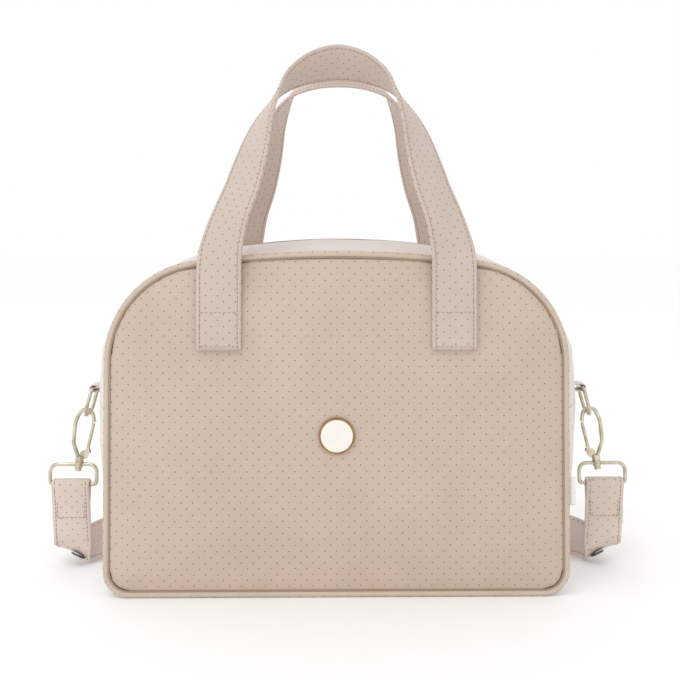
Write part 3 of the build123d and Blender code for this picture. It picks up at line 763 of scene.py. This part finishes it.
# %% Fixed ends of the zip
FIXED_FROM, FIXED_TO = 98.6, 172
FIXED_Y = (-6.0, -3.0, -1.2, 0, 1.2, 3.0, 6.0)
FIXED_LIFT = (0.05, 0.3, 0.4, 0.2, 0.4, 0.3, 0.05)
FIXED_T = 1.0
for half, side in ((1, "right"), (-1, "left")):
    xs = half * np.linspace(FIXED_FROM, FIXED_TO, 40)
    line = gusset_half(0.0, 0.0)[:-80:-1]
    tops = [np.interp(abs(x), line[:, 0], line[:, 1]) for x in xs]
    rows = [[(x, y, top + lift) for y, lift in zip(FIXED_Y, FIXED_LIFT)]
            + [(x, -y, top - FIXED_T) for y in FIXED_Y] for x, top in zip(xs, tops)]
    tape = skin("fixed_zip_" + side, rows, np.linspace(0, 26, 15), np.abs(xs), [zip_cloth])
    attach(tape, "bag")
print("zip line", round(2 * MOUTH_HALF), "mm of opening")

# %% [markdown]
# ## Straps with stitched edges
# Handles and shoulder strap are the same make: leathercloth folded over webbing and topstitched 3.6 mm
# from both edges. The section is a flat bar with soft corners, a slight swell in the middle and a
# shallow trough under each row of stitches, which lie in it as separate threads.

# %% Strap section
STITCH_EDGE = 3.6  # from the edge of the strap to its row of stitches
SWELL, SWELL_EDGE = 0.28, 4.4  # how far the middle stands out, and where it ends


def strap_section(width, thick):
    """Points round the section as (across, out of the face), starting on the outer face."""
    half, t = width / 2, thick / 2
    flat = half - SWELL_EDGE
    face = [(a, t - SWELL + SWELL * (1 - (a / (half - STITCH_EDGE)) ** 6))
            for a in np.linspace(-flat, flat, 9)]
    edge = [(half - STITCH_EDGE, t - 0.42), (half - 2.6, t - 0.12), (half - 1.4, t - 0.22),
            (half - 0.45, t - 0.75), (half, 0.0)]
    right = face + edge
    under = [(a, -f) for a, f in right[::-1]][1:]
    left = [(-a, -f) for a, f in edge[:-1]]
    return np.array(right + under + left + [(-a, f) for a, f in edge[::-1]])


def frames(stations):
    """Along, across and face directions for stations of (point, across)."""
    points = np.array([s[0] for s in stations], float)
    across = np.array([s[1] for s in stations], float)
    along = np.gradient(points, axis=0)
    along /= np.linalg.norm(along, axis=1)[:, None]
    across -= along * (across * along).sum(1)[:, None]
    across /= np.linalg.norm(across, axis=1)[:, None]
    return points, along, across, np.cross(along, across)


def strap(name, stations, width, thick, outer, inner):
    """A strap along its stations; the outer face is the one on the side of along x across."""
    points, along, across, face = frames(stations)
    section = strap_section(width, thick)
    grid = points[:, None] + section[None, :, :1] * across[:, None] + section[None, :, 1:] * face[:, None]
    u = lengths(np.vstack([section, section[:1]])) - width / 2
    return skin(name, grid, u, lengths(points), [outer, inner],
                pick=lambda c: 0 if section[c, 1] >= -0.2 else 1)


print("strap section:", len(strap_section(38.0, 3.8)), "points round")

# %% Rows of stitches
STITCH, STITCH_PITCH = 3.0, 4.1  # mm long, and from one stitch to the next
STITCH_SUNK = 0.25  # how deep the thread lies in its trough


def stitch_rows(name, stations, width, thick, extra=()):
    """Stitches along both edges of a strap, on one or both faces, and along any extra lines."""
    points, along, across, face = frames(stations)
    run = lengths(points)
    places = []
    for s in np.arange(STITCH_PITCH / 2, run[-1], STITCH_PITCH):
        at = [np.array([np.interp(s, run, data[:, k]) for k in range(3)])
              for data in (points, along, across, face)]
        for side in (-1, 1):
            for outward in (1, -1):
                centre = (at[0] + side * (width / 2 - STITCH_EDGE) * at[2]
                          + outward * (thick / 2 - STITCH_SUNK) * at[3])
                places.append(place(centre, at[1], outward * at[3]))
    for a, b, out in extra:
        a, b = np.array(a, float), np.array(b, float)
        for t in np.arange(0.5, np.linalg.norm(b - a) / STITCH_PITCH):
            places.append(place(a + (b - a) / np.linalg.norm(b - a) * t * STITCH_PITCH, b - a, out))
    print(f"{name}: {len(places)} stitches")
    return many(name, places, bead(STITCH, 0.75, 0.7), thread)


print(f"a metre of edge takes {1000 / STITCH_PITCH:.0f} stitches")

# %% [markdown]
# ## Handles
# Each handle is one length. Its ends stand upright on the panel, where a stitched box holds them; above
# the panel's edge the arms lean over the bag, and they turn onto their edges to make a soft arch. The
# handle bends just above the box.

# %% Handles
HANDLE_W, HANDLE_T = 41.5, 3.6
BOX_HALF, BOX_Y, BOX_LOW, BOX_HIGH = 17.1, -93.0, 231.6, 262.5  # the stitched box on the panel
# Right half of the route: x, y and z in mm, and how far the strap has turned in degrees.
ROUTE = [(107.6, -91.3, 228.0, 0), (107.6, -91.3, 248.0, 0), (107.6, -91.3, 268.4, 0),
         (107.6, -91.2, 290.0, 2), (107.5, -90.6, 306.0, 5), (106.6, -89.0, 318.0, 10),
         (103.6, -86.2, 332.5, 18), (99.8, -82.5, 347.5, 25), (94.6, -78.3, 362.5, 29),
         (89.2, -74.0, 377.0, 31), (84.9, -69.8, 392.0, 34), (80.8, -65.5, 407.0, 39),
         (76.8, -61.0, 422.5, 46), (72.3, -56.3, 438.0, 56), (65.7, -51.3, 454.0, 67),
         (57.5, -46.6, 469.0, 79), (47.5, -42.2, 481.5, 93), (35.0, -38.0, 490.0, 106),
         (19.0, -34.6, 496.5, 119), (0.0, -33.0, 499.5, 127)]
LEAN = math.radians(13.8)  # of the arms, over the bag
TIP_Z, TIP_REACH = 268, 70  # the lean begins at this height, and is full this much higher


def handle_stations():
    """Both halves of the route as (point, across), from the right end to the left one."""
    route = ROUTE + [(-x, y, z, turn) for x, y, z, turn in ROUTE[-2::-1]]
    route = smooth_route(route, 4.0)
    points, turns = route[:, :3], np.radians(route[:, 3])
    along = np.gradient(points, axis=0)
    front = np.array([0, -math.cos(LEAN), math.sin(LEAN)])
    upright = np.array([0, -1.0, 0])
    stations = []
    for point, ahead, turn in zip(points, along, turns):
        tip = min(1.0, max(0.0, (point[2] - TIP_Z) / TIP_REACH))
        facing = upright * (1 - tip) + front * tip
        facing /= np.linalg.norm(facing)
        outward = -np.cross(facing, ahead / np.linalg.norm(ahead))
        stations.append((point, outward * math.cos(turn) - facing * math.sin(turn)))
    return stations


stations = handle_stations()
boxes = [((x - BOX_HALF, BOX_Y, z), (x + BOX_HALF, BOX_Y, z), (0, -1, 0)) for x in (-HANDLE_X, HANDLE_X)
         for z in (BOX_LOW, BOX_HIGH)]
for body in ("front", "back"):
    handle = strap(body + "_handle_strap", stations, HANDLE_W, HANDLE_T, dotted_strap, dotted_strap)
    seams = stitch_rows(body + "_handle_stitching", stations, HANDLE_W, HANDLE_T, extra=boxes)
    if body == "back":
        for piece in (handle, seams):
            piece.data.transform(Matrix.Rotation(math.pi, 4, "Z"))
    sign = -1 if body == "front" else 1
    for piece in (handle, seams):
        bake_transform(piece)
    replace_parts(handle, body + "_handle", body + "_handle_ends")
print("handle length", round(lengths([s[0] for s in stations])[-1]), "mm")

# %% [markdown]
# ## Shoulder strap
# It hangs from the clips, turns under itself on the floor and runs behind the bag on its edge. Each end
# is folded over the loop of its clip and sewn to itself, and band and ends are one length here. The
# outer face is printed, the inner face is plain and paler. It is a flat strap that lies still, so it
# is placed, not simulated.

# %% Route of the shoulder strap
STRAP_W, STRAP_T, STRAP_X = 38.0, 3.8, 269.0
FOLD_TURN, FOLD_Z = 4.1, 79.5  # radius and height of the fold over the loop
TAIL = [(269.2, 1.8, 39.0), (269.6, 2.1, 46.0), (269.4, 2.1, 61.0), (269.2, 3.3, 70.0)]
REST_GAP = 0.9  # mm between the strap and the floor
HANG = [(268.7, -3.3, 70.0), (268.3, -2.1, 61.0), (267.7, -2.1, 45.0), (266.8, -2.8, 32.0)]
ROLL_START = np.array([STRAP_X - 3.2, -3.4, 22.0])
ROLL_LEAN, ROLL_RADIUS, ROLL_TURN = math.radians(25), 8.5, math.radians(105)
EDGE_START = np.array([222.4, 44.0, 20.2])
BEHIND = [(221.4, 74), (217.4, 106), (207, 140), (187, 173), (158, 202), (121, 226), (77, 243),
          (38, 250), (0, 252)]


def roll_under(turn):
    """Centre, direction and across where the strap has rolled round a leaning cylinder by this turn."""
    axis = Vector((math.cos(ROLL_LEAN), 0, math.sin(ROLL_LEAN)))
    drop = np.array([math.sin(ROLL_LEAN), 0, -math.cos(ROLL_LEAN)])
    creep = math.tan(ROLL_LEAN) * ROLL_RADIUS * turn
    centre = ROLL_START + drop * ROLL_RADIUS * math.sin(turn) - np.array(axis) * creep
    centre = centre + (0, ROLL_RADIUS * (1 - math.cos(turn)), 0)
    spin = Matrix.Rotation(turn, 3, axis)
    return centre, np.array(spin @ Vector((0, 0, -1))), np.array(spin @ Vector((1, 0, 0)))


def strap_half():
    """Right half as (point, across): folded end, over the loop, down, under, to the middle behind."""
    tail = smooth_route(TAIL, 5.0)
    turn = [(STRAP_X, -FOLD_TURN * math.cos(t), FOLD_Z + FOLD_TURN * math.sin(t))
            for t in np.linspace(math.pi, 0, 15)]
    stations = [(np.array(p), np.array((1.0, 0, 0))) for p in [*tail, *turn, *HANG]]
    roll = [roll_under(ROLL_TURN * i / 12) for i in range(13)]
    stations += [(centre, across) for centre, _, across in roll]
    start, leave, across = roll[-1]
    upright, arrive = np.array((0, 0, 1.0)), np.array((0, 1.0, 0))
    reach = 1.1 * np.linalg.norm(EDGE_START - start)
    for t in np.linspace(0, 1, 17)[1:-1]:
        a, b = 2 * t ** 3 - 3 * t ** 2 + 1, 3 * t ** 2 - 2 * t ** 3
        here = start * a + EDGE_START * b + leave * reach * (t ** 3 - 2 * t ** 2 + t)
        here = here + arrive * reach * (t ** 3 - t ** 2)
        slope = (start - EDGE_START) * (6 * t * t - 6 * t) + leave * reach * (3 * t * t - 4 * t + 1)
        slope = slope + arrive * reach * (3 * t * t - 2 * t)
        slope /= np.linalg.norm(slope)
        side = across * (1 - b) + upright * b
        side -= slope * (side @ slope)
        side /= np.linalg.norm(side)
        face = np.cross(slope, side)
        here[2] = abs(side[2]) * STRAP_W / 2 + abs(face[2]) * STRAP_T / 2 + REST_GAP
        stations.append((here, side))
    path = smooth_route([tuple(EDGE_START)] + [(x, y, EDGE_START[2]) for x, y in BEHIND], 6.0)
    return stations + [(p, upright) for p in path]


half = strap_half()
stations = half + [(p * (-1, 1, 1), a * (-1, 1, 1)) for p, a in half[-2::-1]]
print("shoulder strap:", len(stations), "stations")

# %% Shoulder strap and its stitching
BOX_X, BOX_REACH, BOX_FACE = 268.0, 13.8, -4.05  # the stitched box below each clip
BOX_Z = (47.4, 66.6)
# The outer face takes the lightened leathercloth, painted light against the strap's shade.
band = strap("shoulder_strap", stations, STRAP_W, STRAP_T, shoulder, strap_back)
boxes = []
for x in (-BOX_X, BOX_X):
    sides = [x - BOX_REACH, x + BOX_REACH]
    boxes += [((sides[0], BOX_FACE, z), (sides[1], BOX_FACE, z), (0, -1, 0)) for z in BOX_Z]
    boxes += [((s, BOX_FACE, BOX_Z[0]), (s, BOX_FACE, BOX_Z[1]), (0, -1, 0)) for s in sides]
edges = stitch_rows("shoulder_strap_stitching", stations, STRAP_W, STRAP_T, extra=boxes)
for piece in (band, edges):
    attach(piece, "strap")
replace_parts(band, "strap_band", "strap_end_left", "strap_end_right")
print(f"shoulder strap {lengths([s[0] for s in stations])[-1] / 1000:.2f} m")

# %% [markdown]
# ## Ring tabs and label
# The tab is a 16 mm strip that loops round the ring and is caught in the seam between the two gusset
# strips. The woven label is left blank, and bows a little because it is sewn at its ends only.

# %% Ring tabs
TAB_W, TAB_T = 16.0, 1.9
TAB_BEND_X, TAB_BEND_Z, TAB_BEND = 245.5, 177, 3.3  # centre and radius of the bend round the ring
for sign, side in ((1, "right"), (-1, "left")):
    bend = [(TAB_BEND_X + TAB_BEND * math.sin(t), TAB_BEND_Z + TAB_BEND * math.cos(t))
            for t in np.linspace(0, math.pi, 13)]
    path = [(230.5, 179.6), (236, 180.0), (241, 180.3)] + bend + [(241, 173.7), (236, 174.0), (231.0, 174.2)]
    stations = [((sign * x, 0, z), (0, 1.0, 0)) for x, z in path]
    # The tab takes the gusset's pale colour, with its painted sheen.
    tab = strap("ring_tab_strap_" + side, stations, TAB_W, TAB_T, plain, plain)
    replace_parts(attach(tab, "bag"), "ring_tab_" + side)
    print(f"tab {side}: {lengths([s[0] for s in stations])[-1]:.0f} mm long")

# %% Side label
BOW = 0.35  # mm
low, high = (np.array(corner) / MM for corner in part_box("side_label"))
rows = []
for z in np.linspace(low[2], high[2], 14):
    bow = BOW * math.sin((z - low[2]) / (high[2] - low[2]) * math.pi)
    corners = ((low[0], high[1]), (high[0] - 0.6, high[1]), (high[0], high[1] - 0.4),
               (high[0] - 0.6, low[1]), (low[0], low[1]))
    rows.append([(x, y + bow, z) for x, y in corners])
label = skin("side_label_cloth", rows, [0, 7, 8, 9, 16, 17], [r[0][2] for r in rows], [label_cloth])
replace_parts(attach(label, "bag"), "side_label")
print(f"label {high[2] - low[2]:.0f} mm tall")

# %% [markdown]
# ## Badge, fittings and hidden parts
# Rings, clips, loops, studs and the zip's slider are rigid castings, and the badge is a plain enamel
# medallion in a bronze rim. They could be modelled again, but the frame's own forms are already right,
# so they are only plated. The lining, its pocket and the base board keep their own forms too.

# %% Finishes for the pieces that keep their own form
FINISH = {"ring": gold, "hook": gold, "gate": gold, "gate_pin": gold, "strap_loop": gold,
          "strap_stud": gunmetal, "zip_slider": gold, "zip_pull": gold, "badge_tray": bronze,
          "badge_enamel": enamel, "lining": lining_cloth, "inner_pocket": lining_cloth, "base_board": board}
for name, node in nodes.items():
    kind = name.replace("_left", "").replace("_right", "")
    if kind in FINISH:
        node.data.materials.clear()
        node.data.materials.append(FINISH[kind])
        print(name, "->", FINISH[kind].name)

# %% [markdown]
# ## Studio
# A white seamless floor in a white surround, with one soft round light above and in front and one
# at the left. Most of the light comes from the surround, so the shadows are faint and the leather's
# colour is seen almost as it is. Without the two lights the metal would have nothing to shine with.

# %% Floor
FLOOR_HALF = 6  # metres
floor_material, tree, bsdf = new_material("studio floor", Roughness=0.9, Specular_IOR_Level=0.1)
speck = add(tree, "TexNoise", Vector=add(tree, "TexCoord").outputs["Object"], Scale=40.0)
tint = add(tree, "Mix", {"data_type": "RGBA"}, i0=speck.outputs[0], i6=linear("#fefefe"),
           i7=linear("#fcfcfb"))
tree.links.new(tint.outputs["Result"], bsdf.inputs["Base Color"])
floor = put("studio_floor", bpy.data.meshes.new("studio_floor"))
corners = [(FLOOR_HALF * x, FLOOR_HALF * y, 0) for x, y in ((-1, -1), (1, -1), (1, 1), (-1, 1))]
floor.data.from_pydata(corners, [], [(0, 1, 2, 3)])
floor.data.materials.append(floor_material)
print("floor", 2 * FLOOR_HALF, "m across")

# %% Lights and surround
LIGHT_TARGET = (0, 0, 0.2)
LIGHT_SIZE = 1.2  # metres across
SURROUND = 1.0  # strength


def light(name, where, power):
    """A round soft light that faces the middle of the bag."""
    data = bpy.data.lights.new(name, "AREA")
    data.shape, data.size, data.energy = "DISK", LIGHT_SIZE, power
    lamp = put(name, data)
    lamp.location = where
    lamp.rotation_euler = (Vector(LIGHT_TARGET) - Vector(where)).to_track_quat("-Z", "Y").to_euler()
    print(name, power, "W")


light("key_above", (-0.5, -0.9, 2.0), 6)
light("left_fill", (-2.2, -0.9, 0.9), 4)
world = bpy.data.worlds.new("studio surround")
world.use_nodes = True
background = world.node_tree.nodes["Background"]
background.inputs["Color"].default_value = linear("#ffffff")
background.inputs["Strength"].default_value = SURROUND
scene = bpy.context.scene
scene.world = world
scene.view_settings.view_transform = "Standard"

# %% [markdown]
# ## Camera
# The camera stands a little under a metre in front, just above the panels, and looks almost level. The
# lens is shifted down to the bag, so its upright edges stay parallel.

# %% Camera
LENS = 47.6  # mm
LENS_SHIFT = (-0.037, -0.210)  # in frame widths
CAMERA_AT = (0.0167, -0.9126, 0.3557)  # metres
CAMERA_LOOKS = (0.0111, 0.9998, 0.0142)
camera = put("camera", bpy.data.cameras.new("camera"))
camera.data.lens = LENS
camera.data.shift_x, camera.data.shift_y = LENS_SHIFT
camera.location = CAMERA_AT
camera.rotation_euler = Vector(CAMERA_LOOKS).to_track_quat("-Z", "Y").to_euler()
scene.camera = camera
print("camera", LENS, "mm lens")
